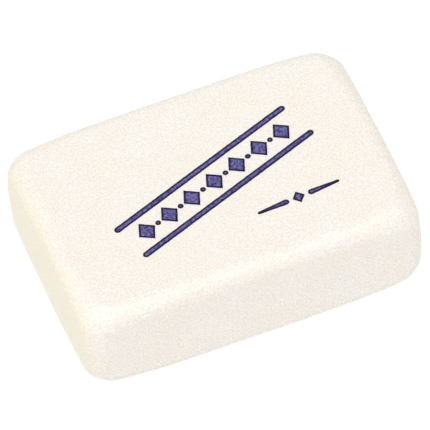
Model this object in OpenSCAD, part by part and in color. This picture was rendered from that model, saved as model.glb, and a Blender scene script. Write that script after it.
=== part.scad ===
// Block eraser of soft white rubber: one solid block, tumbled until its edges and corners are round.
// The faces are flat up to worn edges of one radius. Towards each corner the radius grows, since
// tumbling wears a corner, where three edges meet, the most.
// Origin under the middle of the resting face, +X along the length, +Y across the width, +Z up.

/* [Block] */
// Length of the block, end to end
block_length = 41; // [30:0.5:60]
// Width of the block, side to side
block_width = 28.1; // [20:0.1:45]
// Height of the block, resting face to top face
block_height = 13.1; // [8:0.1:20]

/* [Tumbled edges] */
// Radius of the worn edges, halfway along them
edge_radius = 1.9; // [0.8:0.1:4]
// How much the radius grows at a corner, as a share of it, where 0 is not at all
corner_wear = 2.85; // [0:0.05:4]
// Distance from a corner at which that growth has faded to about a third
corner_reach = 3.1; // [1:0.1:8]

/* [Smoothness] */
// Steps from the middle of an end to each corner
end_steps = 11; // [6:1:14]
// Steps from the middle of a long side to each corner
side_steps = 13; // [6:1:16]
// Steps from mid-height to the start of a worn edge
wall_steps = 5; // [1:1:6]
// Steps from the start of a worn edge to the flat face above or below it
edge_steps = 10; // [6:1:14]

/* [Hidden] */
rubber_white = [0.98, 0.96, 0.92];
quarter_turn = 90;
half_turn = 180;
half_length = block_length / 2;
half_width = block_width / 2;
half_height = block_height / 2;
// The direction of the corners from the middle, where the outline's points lie closest together
corner_angle = atan2(half_width, half_length);
// Times that a span is halved to find the skin in it, which leaves less than a micrometre
halvings = 16;

// The radius of the wear at a point, from its gaps to the nearest end, side and flat face
function worn_radius(gaps) = edge_radius
    * (1 + corner_wear * exp(-(gaps.x + gaps.y + gaps.z) / corner_reach));

// Whether a point is inside the skin, which turns round where a gap is less than the radius
function is_inside(gaps) = let (
    radius = worn_radius(gaps)
) norm([for (gap = gaps) max(0, radius - gap)]) < radius;

// Distance from the middle of a level out to the skin, in one direction, within a span of distances
function skin_reach(angle, face_gap, near, far, halvings_left) = let (
    middle = (near + far) / 2,
    goes_further = is_inside([
        half_length - abs(middle * cos(angle)),
        half_width - abs(middle * sin(angle)),
        face_gap
    ])
) halvings_left == 0
    ? middle
    : skin_reach(
        angle,
        face_gap,
        goes_further ? middle : near,
        goes_further ? far : middle,
        halvings_left - 1
    );

// Eases a share from 0 to 1, with the first steps a third as long as even ones
function eased(share) = (share + 2 * pow(share, 3)) / 3;

// The angles of a level's points, from the middle of the +X end round to that of the +Y side
quarter_angles = concat(
    [for (i = [0 : end_steps]) corner_angle * (1 - eased(1 - i / end_steps))],
    [for (i = [1 : side_steps - 1])
        corner_angle + (quarter_turn - corner_angle) * eased(i / side_steps)]
);
mirrored_angles = [
    for (i = [len(quarter_angles) - 1 : -1 : 0])
        half_turn - quarter_angles[i]
];
half_angles = concat(quarter_angles, [quarter_turn], [
    for (i = [0 : len(mirrored_angles) - 2]) mirrored_angles[i]
]);
angles = concat(half_angles, [for (angle = half_angles) half_turn + angle]);
around = len(angles);

// The gap to a flat face's plane where a worn edge has turned so far from upright
function edge_gap(turn) = edge_radius * (1 - sin(turn));

// The turn at the last level, whose points the flat face joins
last_turn = 88;
// Half of the height between the flat faces' planes, which lie about a micrometre past the last level
plane_height = half_height + edge_gap(last_turn);

// The gaps of the levels to the plane, from mid-height to the flat face
level_gaps = concat(
    [for (i = [0 : wall_steps - 1])
        edge_radius + (plane_height - edge_radius) * eased(1 - i / wall_steps)],
    [for (i = [0 : edge_steps]) edge_gap(last_turn * i / edge_steps)]
);
last_gap = len(level_gaps) - 1;

// One level of the block, above mid-height for a side of 1 and below it for -1
function level(face_gap, side) = [
    for (angle = angles)
        let (reach = skin_reach(
            angle,
            face_gap,
            0,
            norm([half_length, half_width]),
            halvings
        ))
            [
                reach * cos(angle),
                reach * sin(angle),
                half_height + side * (plane_height - face_gap)
            ]
];

levels = concat(
    [for (i = [last_gap : -1 : 1]) level(level_gaps[i], -1)],
    [for (gap = level_gaps) level(gap, 1)]
);
last_row = len(levels) - 1;

// The two triangles between neighbouring points of a level and the level above it
function wall_pair(row, i) = let (
    low = row * around + i,
    low_next = row * around + (i + 1) % around,
    high = low + around,
    high_next = low_next + around
) [[low, high_next, low_next], [low, high, high_next]];

module rubber_block() {
    resting_face = [for (i = [0 : around - 1]) i];
    top_face = [for (i = [around - 1 : -1 : 0]) last_row * around + i];
    walls = [
        for (row = [0 : last_row - 1])
            for (i = [0 : around - 1])
                for (triangle = wall_pair(row, i))
                    triangle
    ];
    color(rubber_white)
        polyhedron(
            points = [for (ring = levels) for (point = ring) point],
            faces = concat([resting_face, top_face], walls)
        );
}

rubber_block();
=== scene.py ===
"""A small block eraser of soft white rubber, with a printed ornament on top, on a white table."""
import math

import bmesh
import bpy
import numpy as np
from mathutils import Matrix, Vector, noise


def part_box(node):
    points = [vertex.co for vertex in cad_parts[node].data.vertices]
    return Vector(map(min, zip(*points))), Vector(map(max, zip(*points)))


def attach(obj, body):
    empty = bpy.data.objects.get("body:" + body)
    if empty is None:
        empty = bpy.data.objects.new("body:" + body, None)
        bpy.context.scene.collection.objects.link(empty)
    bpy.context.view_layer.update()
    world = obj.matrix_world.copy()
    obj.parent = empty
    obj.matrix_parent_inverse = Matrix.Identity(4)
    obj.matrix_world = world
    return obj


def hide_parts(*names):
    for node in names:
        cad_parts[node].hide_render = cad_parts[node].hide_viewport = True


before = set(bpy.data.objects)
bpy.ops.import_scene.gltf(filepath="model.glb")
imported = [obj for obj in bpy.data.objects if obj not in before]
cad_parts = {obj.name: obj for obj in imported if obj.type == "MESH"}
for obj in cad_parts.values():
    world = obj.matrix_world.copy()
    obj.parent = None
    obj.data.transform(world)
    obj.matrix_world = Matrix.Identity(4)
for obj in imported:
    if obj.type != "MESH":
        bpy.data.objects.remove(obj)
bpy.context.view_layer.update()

MM = 0.001

# The block. Soft synthetic rubber, pressed in a slab, cut, and tumbled in a drum until its edges
# and corners are round and its skin is dull. It lies on one of its two large, flat faces.
EDGE_RADIUS = 1.9 * MM
CORNER_WEAR = 2.85  # share by which the rounding's radius grows into a corner
CORNER_REACH = 3.1 * MM  # distance from a corner at which that growth has faded to a third
WEAR_VARIES = 0.12  # share by which an edge is worn more in one place than in another
WEAR_PATCH = 9 * MM
WEAR_START = Vector((3.1, 7.4, 1.2))  # where the block enters the chance pattern of its wear
DENT_DEPTH = 0.05 * MM
DENT_PATCH = 7 * MM
DENT_START = Vector((11.7, 2.3, 5.9))  # the same for the pattern of its dents
SKIN_PITCH = 0.22 * MM
CORE_DEPTH = 5.5 * MM  # of the core from which the skin's points are sent out
HALVINGS = 22  # of a ray's span, to find the skin on it

block_low, block_high = (np.array(corner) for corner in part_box("rubber_block"))
block_middle = (block_low + block_high) / 2
block_half = (block_high - block_low) / 2


def drift(points, patch, start):
    """Smooth chance values between about -1 and 1, which change over patches of one size."""
    return np.array([noise.noise(Vector(point / patch) + start) for point in points])


def rays_to_skin(starts, ways, edge_radii):
    """Where rays from inside the block leave it, with rounds that grow wider into the corners."""
    near = np.zeros(len(starts))
    far = np.full(len(starts), 2 * block_half.max())
    for _ in range(HALVINGS):
        middle = (near + far) / 2
        gaps = block_half - np.abs(starts + ways * middle[:, None])
        into_corner = np.exp(-np.maximum(gaps, 0).sum(axis=1) / CORNER_REACH)
        radii = edge_radii * (1 + CORNER_WEAR * into_corner)
        from_round = np.linalg.norm(np.maximum(radii[:, None] - gaps, 0), axis=1)
        near = np.where(from_round < radii, middle, near)
        far = np.where(from_round < radii, far, middle)
    return starts + ways * near[:, None]


def tumbled_skin(starts, ways):
    """The rays' ends on the real skin, with edges worn unevenly and shallow dents."""
    even_skin = rays_to_skin(starts, ways, np.full(len(starts), EDGE_RADIUS))
    wear = 1 + WEAR_VARIES * drift(even_skin, WEAR_PATCH, WEAR_START)
    skin = rays_to_skin(starts, ways, EDGE_RADIUS * wear)
    dents = DENT_DEPTH * (0.5 + 0.5 * drift(skin, DENT_PATCH, DENT_START))
    return skin - ways * dents[:, None]


def box_lattice(cells):
    """Whole-number points all over a box's surface, shared along its edges, and their quads."""
    sheets, quads = [], []
    for axis in range(3):
        along, across = (axis + 1) % 3, (axis + 2) % 3
        for side in (0, cells[axis]):
            start = sum(map(len, sheets))
            i, j = np.meshgrid(
                np.arange(cells[along] + 1), np.arange(cells[across] + 1), indexing="ij"
            )
            sheet = np.full((i.size, 3), side)
            sheet[:, along], sheet[:, across] = i.ravel(), j.ravel()
            sheets.append(sheet)
            index = start + np.arange(i.size).reshape(i.shape)
            ring = [index[:-1, :-1], index[1:, :-1], index[1:, 1:], index[:-1, 1:]]
            if side == 0:
                ring.reverse()
            quads.append(np.stack([corner.ravel() for corner in ring], axis=1))
    points, shared = np.unique(np.concatenate(sheets), axis=0, return_inverse=True)
    return points, shared.ravel()[np.concatenate(quads)]


def new_object(name, mesh):
    """A mesh's object, smooth shaded, in the scene."""
    mesh.shade_smooth()
    piece = bpy.data.objects.new(name, mesh)
    bpy.context.scene.collection.objects.link(piece)
    return piece


cells = np.round(2 * block_half / SKIN_PITCH).astype(int)
lattice, quads = box_lattice(cells)
on_box = (2 * lattice / cells - 1) * block_half
in_core = np.clip(on_box, CORE_DEPTH - block_half, block_half - CORE_DEPTH)
ways = on_box - in_core
ways /= np.linalg.norm(ways, axis=1, keepdims=True)
skin = block_middle + tumbled_skin(in_core, ways)
settling = skin[:, 2].min() - block_low[2]  # until the lowest of the dented skin is on the table
skin[:, 2] -= settling
block_mesh = bpy.data.meshes.new("block")
block_mesh.from_pydata(skin.tolist(), [], quads.tolist())
block = new_object("block", block_mesh)


def linear(red, green, blue):
    """A colour given as 0 to 255 on screen, as the shader wants it."""
    shares = [value / 255 for value in (red, green, blue)]
    return [share / 12.92 if share < 0.04045 else ((share + 0.055) / 1.055) ** 2.4
            for share in shares] + [1]


def new_material(name):
    """A material with its tree and its Principled shader."""
    material = bpy.data.materials.new(name)
    material.use_nodes = True
    tree = material.node_tree
    return material, tree, tree.nodes["Principled BSDF"]


def feed(tree, node, inputs):
    """Gives a node a value or a link for each input, which goes by its name or its number."""
    in_use = {socket.name: socket for socket in reversed(node.inputs) if socket.enabled}
    for name, value in inputs.items():
        socket = node.inputs[name] if isinstance(name, int) else in_use[name]
        if isinstance(value, bpy.types.NodeSocket):
            tree.links.new(value, socket)
        else:
            socket.default_value = value


def add(tree, kind, inputs=None, **settings):
    """The outputs of a new node with these settings and inputs."""
    node = tree.nodes.new(kind)
    for name, value in settings.items():
        setattr(node, name, value)
    feed(tree, node, inputs or {})
    return {socket.name: socket for socket in node.outputs if socket.enabled}


def stretched(tree, value, span, new_span=(0, 1)):
    """A value taken from one span to another, and held at the ends."""
    return add(tree, "ShaderNodeMapRange", {
        "Value": value, "From Min": span[0], "From Max": span[1],
        "To Min": new_span[0], "To Max": new_span[1],
    })["Result"]


def mixed(tree, share, first, second, kind="RGBA"):
    """Two colours or numbers mixed, with the share of the second one."""
    return add(tree, "ShaderNodeMix", {
        "Factor": share, "A": first, "B": second,
    }, data_type=kind)["Result"]


# Rubber white, a little warmer in some patches than in others, with a fine crumb grain. Both ends
# are painted creamier: painted warm light, in place of part of the left card's yellow light
RUBBER_PALE = linear(252, 245, 239)
RUBBER_WARM = linear(252, 243, 233)
RUBBER_END_PAINTED_WARM_LIGHT = linear(252, 243, 224)
PAINTED_LIGHT_END_TURN = (1.2 * MM, 0.15 * MM)  # gaps to the end between which the tone turns creamier
PATCHES = {"Scale": 260, "Detail": 3}  # cells in a metre, and finer levels in them
CRUMBS = {"Scale": 4200, "Detail": 1}
GRAIN_SPAN = (0.3, 0.7)  # between which nearly all of both patterns lies
SPECKLE = (0.87, 1.04)  # brightness of the darkest and the palest crumb
CRUMB_HEIGHT = 0.08 * MM
rubber, rubber_tree, rubber_shader = new_material("white_rubber")
on_rubber = add(rubber_tree, "ShaderNodeTexCoord")["Object"]
patches = add(rubber_tree, "ShaderNodeTexNoise", {"Vector": on_rubber, **PATCHES})["Fac"]
crumbs = add(rubber_tree, "ShaderNodeTexNoise", {"Vector": on_rubber, **CRUMBS})["Fac"]
mottle = stretched(rubber_tree, patches, GRAIN_SPAN)
mottled = mixed(rubber_tree, mottle, RUBBER_PALE, RUBBER_WARM)
along = add(rubber_tree, "ShaderNodeSeparateXYZ", {"Vector": on_rubber})["X"]
off_middle = add(rubber_tree, "ShaderNodeMath", {0: along}, operation="ABSOLUTE")["Value"]
# Painted light: the ends turn creamier, standing in for part of the warm card's yellow light on the
# left end
painted_end_light_share = stretched(rubber_tree, off_middle, [block_half[0] - gap for gap in PAINTED_LIGHT_END_TURN])
with_painted_end_light = mixed(rubber_tree, painted_end_light_share, mottled, RUBBER_END_PAINTED_WARM_LIGHT)
speckled = add(rubber_tree, "ShaderNodeHueSaturation", {
    "Color": with_painted_end_light, "Value": stretched(rubber_tree, crumbs, GRAIN_SPAN, SPECKLE),
})["Color"]
bumpy = add(rubber_tree, "ShaderNodeBump", {
    "Height": crumbs, "Strength": 1, "Distance": CRUMB_HEIGHT,
})["Normal"]
feed(rubber_tree, rubber_shader, {
    "Base Color": speckled,
    "Normal": bumpy,
    "Roughness": 0.35,
    "Specular IOR Level": 0.9,
    "Subsurface Weight": 0.2,
    "Subsurface Radius": (1.0, 0.7, 0.45),
    "Subsurface Scale": 0.6 * MM,
})
block_mesh.materials.append(rubber)
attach(block, "root")
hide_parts("rubber_block")

# The print. Oil-based ink, pressed onto the top with a rubber stamp: a row of lozenges and dots
# between two rules, and a small lozenge between two dashes. The stamp squeezes ink out to the rims.
INK_THICKNESS = 0.02 * MM
INK_SINK = 0.05 * MM  # of its underside below the skin
RIM_WIDTH = 0.21 * MM
RIM_FADE = 0.05 * MM
INK_STEP = 0.16 * MM  # between points of an outline
INK_WOBBLE = 0.025 * MM
WOBBLE_PATCH = 3 * INK_STEP
WOBBLE_STARTS = (Vector((4.3, 8.1, 0.6)), Vector((9.2, 1.7, 6.4)))  # along the row and across it
INK_CELL = 0.6 * MM  # an edge of the ink is no longer than this, so that it follows the skin

BAND_MIDDLE = (0.3 * MM, -0.3 * MM)  # from the block's middle
BAND_TURN = math.radians(20.6)
BAND_LENGTH = 25.7 * MM
RULE_WIDTH = 0.8 * MM
RULE_OFFSET = 2.45 * MM
LOZENGE_COUNT = 7
LOZENGE_PITCH = 3.4 * MM
LOZENGE_SIZE = (2.4 * MM, 2.9 * MM)
DOT_RADIUS = 0.34 * MM
DOT_STEPS = 12  # round a dot, and half as many round a stroke's end

DASH_MIDDLE = (8.2 * MM, -6.3 * MM)
DASH_TURN = math.radians(4)
DASH_LOZENGE_SIZE = (1.5 * MM, 1.7 * MM)
DASH_GAP = 0.45 * MM
DASH_LENGTH = 3.9 * MM
DASH_WIDTHS = (0.75 * MM, 0.36 * MM)


def lozenge(middle, size):
    """The corners of an upright lozenge."""
    return [
        (middle + size[0] / 2, 0), (middle, size[1] / 2),
        (middle - size[0] / 2, 0), (middle, -size[1] / 2),
    ]


def dot(middle):
    """The outline of a round dot."""
    turns = [math.tau * step / DOT_STEPS for step in range(DOT_STEPS)]
    return [
        (middle + DOT_RADIUS * math.cos(turn), DOT_RADIUS * math.sin(turn)) for turn in turns
    ]


def round_ended(start, end, start_width, end_width, offset=0):
    """The outline of a straight stroke with half-round ends, along the row."""
    steps = DOT_STEPS // 2
    outline = []
    for tip, width, first_turn in ((end, end_width, -90), (start, start_width, 90)):
        for step in range(steps + 1):
            turn = math.radians(first_turn + 180 * step / steps)
            outline.append((
                tip + width / 2 * math.cos(turn), offset + width / 2 * math.sin(turn)
            ))
    return outline


def add_inked_face(shapes, rim, outline, turn):
    """Adds one inked shape to a mesh, flat and a little wobbly, with its rim marked."""
    corners = [Vector(corner) for corner in outline]
    path = []
    for corner, after in zip(corners, corners[1:] + corners[:1]):
        count = max(1, round((after - corner).length / INK_STEP))
        path += [corner.lerp(after, step / count) for step in range(count)]
    on_stamp = np.array([(*point, 0) for point in path])
    wobbles = [
        drift(on_stamp, WOBBLE_PATCH, start + Vector((0, 0, turn))) for start in WOBBLE_STARTS
    ]
    verts = []
    for point, *wobble in zip(path, *wobbles):
        vert = shapes.verts.new((*(point + INK_WOBBLE * Vector(wobble)), INK_THICKNESS))
        vert[rim] = 1
        verts.append(vert)
    face = shapes.faces.new(verts)
    face.normal_update()
    for width, strength in ((RIM_WIDTH, 1), (RIM_FADE, 0)):
        bmesh.ops.inset_region(shapes, faces=[face], thickness=width, use_boundary=True)
        for vert in face.verts:
            vert[rim] = strength


def to_triangles(shapes, most_corners):
    """Cuts the faces that have more corners than this into triangles."""
    wide = [face for face in shapes.faces if len(face.verts) > most_corners]
    bmesh.ops.triangulate(shapes, faces=wide)


def stamped(outlines, name, middle, turn):
    """One closed mesh of inked shapes that lie on the block's top."""
    shapes = bmesh.new()
    rim = shapes.verts.layers.float.new("rim")
    for outline in outlines:
        add_inked_face(shapes, rim, outline, turn)
    to_triangles(shapes, 4)
    while long_edges := [edge for edge in shapes.edges if edge.calc_length() > INK_CELL]:
        bmesh.ops.subdivide_edges(shapes, edges=long_edges, cuts=1)
        to_triangles(shapes, 3)
    open_edges = [edge for edge in shapes.edges if edge.is_boundary]
    for part in bmesh.ops.extrude_edge_only(shapes, edges=open_edges)["geom"]:
        if isinstance(part, bmesh.types.BMVert):
            part.co.z = -INK_SINK
    bmesh.ops.holes_fill(shapes, edges=[edge for edge in shapes.edges if edge.is_boundary])
    to_triangles(shapes, 4)
    bmesh.ops.recalc_face_normals(shapes, faces=shapes.faces)
    shapes.transform(Matrix.Translation((*middle, 0)) @ Matrix.Rotation(turn, 4, "Z"))
    flat = np.array([vert.co for vert in shapes.verts])
    starts = flat * (1, 1, 0) + (block_middle[0], block_middle[1], 0)
    on_top = tumbled_skin(starts, np.tile((0.0, 0.0, 1.0), (len(starts), 1)))
    for vert, point in zip(shapes.verts, on_top):
        vert.co = Vector(point) + Vector((0, 0, block_middle[2] - settling + vert.co.z))
    mesh = bpy.data.meshes.new(name)
    shapes.to_mesh(mesh)
    shapes.free()
    return new_object(name, mesh)


half_row = (LOZENGE_COUNT - 1) / 2
half_rule = (BAND_LENGTH - RULE_WIDTH) / 2
band_shapes = [
    *(lozenge((number - half_row) * LOZENGE_PITCH, LOZENGE_SIZE)
      for number in range(LOZENGE_COUNT)),
    *(dot((number + 0.5 - half_row) * LOZENGE_PITCH) for number in range(LOZENGE_COUNT - 1)),
    *(round_ended(-half_rule, half_rule, RULE_WIDTH, RULE_WIDTH, offset)
      for offset in (-RULE_OFFSET, RULE_OFFSET)),
]
band = stamped(band_shapes, "printed_band", BAND_MIDDLE, BAND_TURN)

dash_start = DASH_LOZENGE_SIZE[0] / 2 + DASH_GAP + DASH_WIDTHS[0] / 2
dash_end = dash_start + DASH_LENGTH - sum(DASH_WIDTHS) / 2
dash_shapes = [
    lozenge(0, DASH_LOZENGE_SIZE),
    round_ended(dash_start, dash_end, *DASH_WIDTHS),
    round_ended(-dash_end, -dash_start, *reversed(DASH_WIDTHS)),
]
dash = stamped(dash_shapes, "printed_dash", DASH_MIDDLE, DASH_TURN)

# Violet-blue ink, thin and mottled over the crumbs, and near black where it is squeezed out thick
INK_THIN = linear(120, 113, 166)
INK_FULL = linear(46, 42, 114)
INK_RIM = linear(20, 8, 56)
BLOTS = {"Scale": 3500, "Detail": 2}
BLOT_SPAN = (0.35, 0.65)  # of the pattern, from the thinnest ink to the fullest
ink, ink_tree, ink_shader = new_material("violet_ink")
on_ink = add(ink_tree, "ShaderNodeTexCoord")["Object"]
blots = add(ink_tree, "ShaderNodeTexNoise", {"Vector": on_ink, **BLOTS})["Fac"]
filling = mixed(ink_tree, stretched(ink_tree, blots, BLOT_SPAN), INK_THIN, INK_FULL)
squeezed = add(ink_tree, "ShaderNodeAttribute", attribute_name="rim")["Fac"]
feed(ink_tree, ink_shader, {
    "Base Color": mixed(ink_tree, squeezed, filling, INK_RIM),
    "Roughness": 0.55,
    "Specular IOR Level": 0.25,
})
for piece in (band, dash):
    piece.data.materials.append(ink)
    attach(piece, "root")

# The table. A smooth white light box that runs out past the picture on all sides. Its faint glow
# from below lifts its own lit white to paper white, and only the block's own soft shadow marks it.
TABLE_WIDTH = 1.6
TABLE_GAP = 0.02 * MM
BOARD_PALE = linear(232, 231, 229)
BOARD_GREY = linear(229, 228, 226)
BOARD_GRAIN = {"Scale": 90, "Detail": 3}  # cells across the table, and finer levels in them
GLOW = linear(255, 255, 255)
BOX_GLOW = 0.85  # strength of the glow that falls on the block
BOX_GLOW_SHARE = 0.75  # of the glow in the table's light, where the rest is the lamps'
SEEN_GLOW = 1.075  # the same two for the table as the camera sees it
SEEN_GLOW_SHARE = 0.8


def looked_at(tree):
    """A share that is 1 where the camera sees a thing, straight, in a gloss or through glass."""
    path = add(tree, "ShaderNodeLightPath")
    camera_or_gloss = add(tree, "ShaderNodeMath", {
        0: path["Is Camera Ray"], 1: path["Is Glossy Ray"],
    }, operation="MAXIMUM")["Value"]
    return add(tree, "ShaderNodeMath", {
        0: camera_or_gloss, 1: path["Is Transmission Ray"],
    }, operation="MAXIMUM")["Value"]


reach = TABLE_WIDTH / 2
table_mesh = bpy.data.meshes.new("table")
table_mesh.from_pydata(
    [(-reach, -reach, -TABLE_GAP), (reach, -reach, -TABLE_GAP),
     (reach, reach, -TABLE_GAP), (-reach, reach, -TABLE_GAP)],
    [], [(0, 1, 2, 3)],
)
table = new_object("table", table_mesh)
board, board_tree, board_shader = new_material("white_board")
board_tree.nodes.remove(board_shader)
board_grain = add(board_tree, "ShaderNodeTexNoise", BOARD_GRAIN)["Fac"]
lit = add(board_tree, "ShaderNodeBsdfDiffuse", {
    "Color": mixed(board_tree, board_grain, BOARD_PALE, BOARD_GREY),
})["BSDF"]
table_seen = looked_at(board_tree)
glow = add(board_tree, "ShaderNodeEmission", {
    "Color": GLOW, "Strength": mixed(board_tree, table_seen, BOX_GLOW, SEEN_GLOW, "FLOAT"),
})["Emission"]
surface = add(board_tree, "ShaderNodeMixShader", {
    0: mixed(board_tree, table_seen, BOX_GLOW_SHARE, SEEN_GLOW_SHARE, "FLOAT"),
    1: lit,
    2: glow,
})["Shader"]
feed(board_tree, board_tree.nodes["Material Output"], {"Surface": surface})
table_mesh.materials.append(board)

# The light. An even white room, two broad lamps in front of the block, one of them high above it,
# and a warm card at its left end that lights that end softly.
ROOM_STRENGTH = 0.785
# Each lamp's name, strength, spread, azimuth and elevation in degrees, and colour
LAMPS = (
    ("front_lamp", 0.41, 30, -13, 46, (1.0, 1.0, 1.0)),
    ("high_lamp", 0.47, 40, -13, 72, (1.0, 1.0, 1.0)),
    ("left_card", 0.34, 60, -90, 20, (1.0, 0.98, 0.6)),
)


def towards(azimuth, elevation):
    """The direction of a place seen from the block, with azimuth 0 in front and 90 to the right."""
    return Vector((
        math.sin(azimuth) * math.cos(elevation),
        -math.cos(azimuth) * math.cos(elevation),
        math.sin(elevation),
    ))


for name, strength, spread, azimuth, elevation, colour in LAMPS:
    light = bpy.data.lights.new(name, "SUN")
    light.energy = strength
    light.angle = math.radians(spread)
    light.color = colour
    lamp = bpy.data.objects.new(name, light)
    way = towards(math.radians(azimuth), math.radians(elevation))
    lamp.rotation_euler = way.to_track_quat("Z", "Y").to_euler()
    bpy.context.scene.collection.objects.link(lamp)

room = bpy.data.worlds.new("room")
bpy.context.scene.world = room
room.use_nodes = True
room_tree = room.node_tree
room_tree.nodes.clear()
walls = add(room_tree, "ShaderNodeBackground", {
    "Color": GLOW,
    "Strength": mixed(room_tree, looked_at(room_tree), ROOM_STRENGTH, 1.0, "FLOAT"),
})["Background"]
add(room_tree, "ShaderNodeOutputWorld", {"Surface": walls})

# The camera. A long lens that looks down on the block from the front, a little from its left, and
# is held with a slight roll.
CAMERA_AZIMUTH = math.radians(-16.57)
CAMERA_ELEVATION = math.radians(51.78)
CAMERA_ROLL = math.radians(-5.91)
CAMERA_DISTANCE = 1082 * MM
SENSOR_WIDTH = 36
PIXELS_PER_METRE = 8802  # at the block's middle
PICTURE_PIXELS = 430
BLOCK_PIXEL = (214.508, 215.603)  # where the picture has the block's middle, from its top left

lens = bpy.data.cameras.new("camera")
lens.sensor_width = SENSOR_WIDTH
lens.lens = SENSOR_WIDTH * PIXELS_PER_METRE * CAMERA_DISTANCE / PICTURE_PIXELS
lens.shift_x = 0.5 - BLOCK_PIXEL[0] / PICTURE_PIXELS
lens.shift_y = BLOCK_PIXEL[1] / PICTURE_PIXELS - 0.5
back = towards(CAMERA_AZIMUTH, CAMERA_ELEVATION)
right = Vector((math.cos(CAMERA_AZIMUTH), math.sin(CAMERA_AZIMUTH), 0))
up = back.cross(right)
rolled_right = right * math.cos(CAMERA_ROLL) + up * math.sin(CAMERA_ROLL)
rolled_up = up * math.cos(CAMERA_ROLL) - right * math.sin(CAMERA_ROLL)
aim = Matrix((rolled_right, rolled_up, back)).transposed().to_4x4()
camera = bpy.data.objects.new("camera", lens)
camera.matrix_world = Matrix.Translation(Vector(block_middle) + back * CAMERA_DISTANCE) @ aim
bpy.context.scene.collection.objects.link(camera)
bpy.context.scene.camera = camera
bpy.context.scene.view_settings.view_transform = "Standard"
